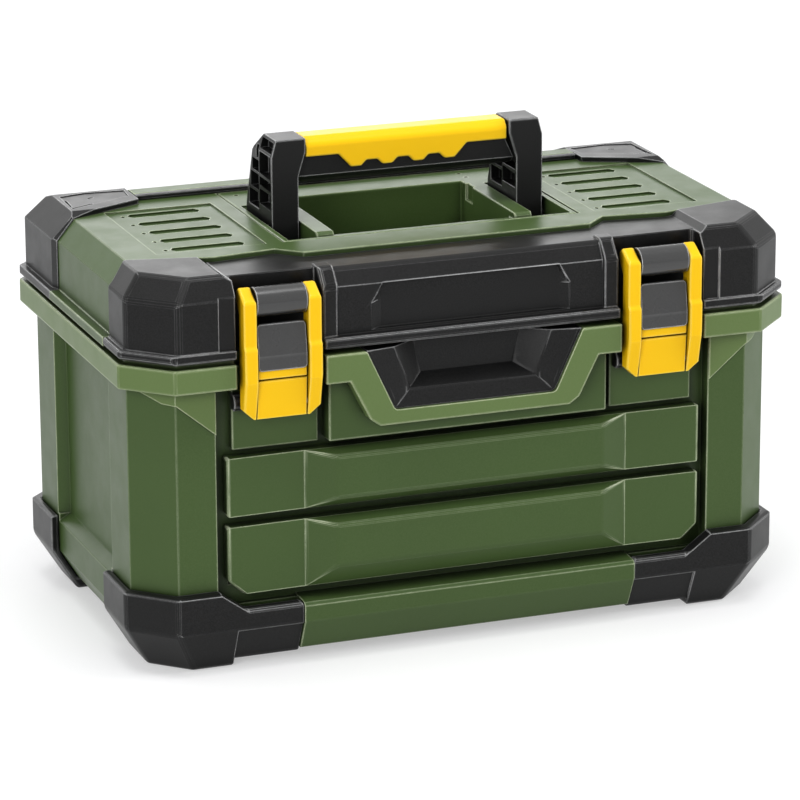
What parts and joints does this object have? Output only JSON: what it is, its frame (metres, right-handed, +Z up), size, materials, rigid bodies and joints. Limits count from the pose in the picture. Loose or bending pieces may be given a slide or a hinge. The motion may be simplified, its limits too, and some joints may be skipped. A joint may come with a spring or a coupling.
{
  "type": "plastic tool box with drawers",
  "caption": "Portable plastic tool box: drawers in the front, an open bin under a hinged lid, swing latches with press buttons and a folding carrying handle.",
  "frame": {"origin": "on the floor, under the middle of the box", "axes": "+Z up, +X to the right seen from the front, the drawers and latches face -Y"},
  "size_m": [0.45, 0.2895, 0.3115],
  "materials": {
    "green": "satin moulded",
    "charcoal": "fine grained, satin",
    "inner_charcoal": "plain moulded",
    "yellow": "satin moulded",
    "steel": "plain steel"
  },
  "bodies": {
    "cabinet": {"bezel_frame": "green", "body_shell": "green", "bracket_screws": "steel", "drawer_cabinet": "inner_charcoal", "finger_recess": "charcoal", "foot_front_left": "charcoal", "foot_front_right": "charcoal", "foot_rear_left": "charcoal", "foot_rear_right": "charcoal", "foot_screws": "steel", "front_plate": "green", "hinge_bracket_left": "green", "hinge_bracket_right": "green", "keeper_panel_left": "green", "keeper_panel_right": "green", "latch_catch_left": "charcoal", "latch_catch_right": "charcoal", "rim_frame": "green", "runner_lower_left": "inner_charcoal", "runner_lower_right": "inner_charcoal", "runner_upper_left": "inner_charcoal", "runner_upper_right": "inner_charcoal", "upper_bin": "inner_charcoal"},
    "lid": {"handle_pin_left": "steel", "handle_pin_right": "steel", "hinge_leaf_left": "green", "hinge_leaf_right": "green", "hinge_pin_left": "steel", "hinge_pin_right": "steel", "latch_barrel_left": "charcoal", "latch_barrel_right": "charcoal", "latch_pin_left": "steel", "latch_pin_right": "steel", "leaf_screws": "steel", "lid_front_bumper": "charcoal", "lid_rear_bar": "charcoal", "lid_rear_cap_left": "charcoal", "lid_rear_cap_right": "charcoal", "lid_shell": "green", "lid_tray": "green"},
    "handle": {"handle_core": "charcoal", "handle_grip": "yellow", "handle_post_left": "charcoal", "handle_post_right": "charcoal"},
    "latch_left": {"latch_cross_pin_left": "steel", "latch_frame_left": "yellow"},
    "latch_right": {"latch_cross_pin_right": "steel", "latch_frame_right": "yellow"},
    "button_left": {"latch_pad_left": "charcoal", "latch_tongue_left": "yellow"},
    "button_right": {"latch_pad_right": "charcoal", "latch_tongue_right": "yellow"},
    "upper_drawer": {"upper_drawer_box": "inner_charcoal", "upper_drawer_front": "green"},
    "lower_drawer": {"lower_drawer_box": "inner_charcoal", "lower_drawer_front": "green"}
  },
  "joints": [
    {"name": "lid_hinge", "type": "hinge", "parent": "cabinet", "child": "lid", "pos_m": [0, 0.1425, 0.207], "axis": [-1, 0, 0], "range_deg": [0, 100]},
    {"name": "handle_fold", "type": "hinge", "parent": "lid", "child": "handle", "pos_m": [0, -0.013, 0.2455], "axis": [1, 0, 0], "range_deg": [0, 65]},
    {"name": "upper_drawer_slide", "type": "slide", "parent": "cabinet", "child": "upper_drawer", "axis": [0, -1, 0], "range_m": [0, 0.17]},
    {"name": "lower_drawer_slide", "type": "slide", "parent": "cabinet", "child": "lower_drawer", "axis": [0, -1, 0], "range_m": [0, 0.17]},
    {"name": "latch_left_swing", "type": "hinge", "parent": "lid", "child": "latch_left", "pos_m": [-0.12795, -0.1309, 0.2397], "axis": [-1, 0, 0], "range_deg": [0, 110]},
    {"name": "button_left_press", "type": "slide", "parent": "latch_left", "child": "button_left", "axis": [0, 1, 0], "range_m": [0, 0.0025], "stiffness_N_per_m": 800, "springref_m": -0.001},
    {"name": "latch_right_swing", "type": "hinge", "parent": "lid", "child": "latch_right", "pos_m": [0.12795, -0.1309, 0.2397], "axis": [-1, 0, 0], "range_deg": [0, 110]},
    {"name": "button_right_press", "type": "slide", "parent": "latch_right", "child": "button_right", "axis": [0, 1, 0], "range_m": [0, 0.0025], "stiffness_N_per_m": 800, "springref_m": -0.001}
  ]
}
